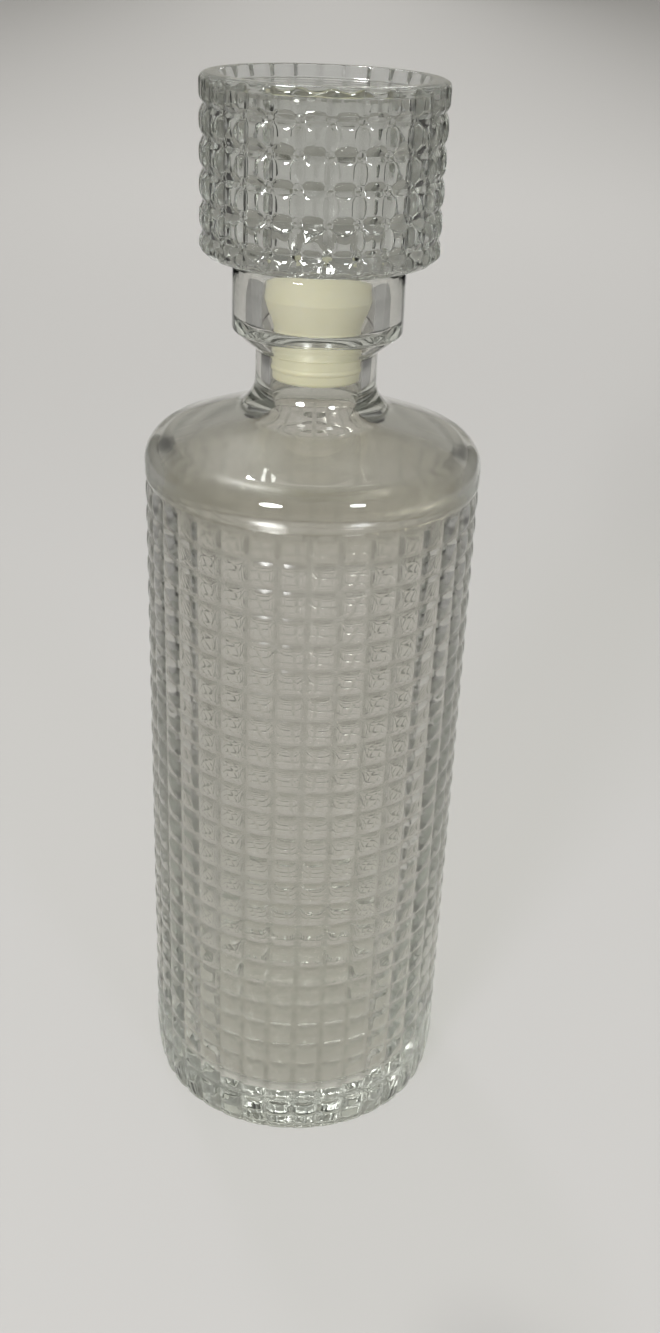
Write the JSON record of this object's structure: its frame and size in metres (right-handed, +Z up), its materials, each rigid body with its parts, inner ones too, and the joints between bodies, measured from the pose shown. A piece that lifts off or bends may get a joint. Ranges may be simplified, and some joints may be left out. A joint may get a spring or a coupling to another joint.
{
  "type": "decanter with stopper",
  "caption": "Round pressed-glass decanter with a waffle relief, short neck and wide collar, closed by a drum-headed glass stopper on a plastic sealing plug.",
  "frame": {"origin": "centre of the face the decanter stands on", "axes": "+Z up along the axis of the bottle, -Y towards the front, +X to the right"},
  "size_m": [0.085, 0.085, 0.2802],
  "materials": {
    "bottle_glass": "clear pressed glass with a faint grey-green cast",
    "sleeve_plastic": "cream-white translucent polyethylene",
    "head_glass": "clear pressed glass, thick and slightly blue-grey"
  },
  "bodies": {
    "bottle_body": {"bottle": "bottle_glass"},
    "plug_body": {"stopper_sleeve": "sleeve_plastic"},
    "head_body": {"stopper_head": "head_glass"}
  },
  "joints": [
    {"name": "stopper_lift", "type": "slide", "parent": "bottle_body", "child": "plug_body", "axis": [0, 0, 1], "range_m": [0, 0.045]},
    {"name": "stopper_twist", "type": "hinge", "parent": "plug_body", "child": "head_body", "pos_m": [0, 0, 0.24], "axis": [0, 0, 1], "continuous": true}
  ]
}
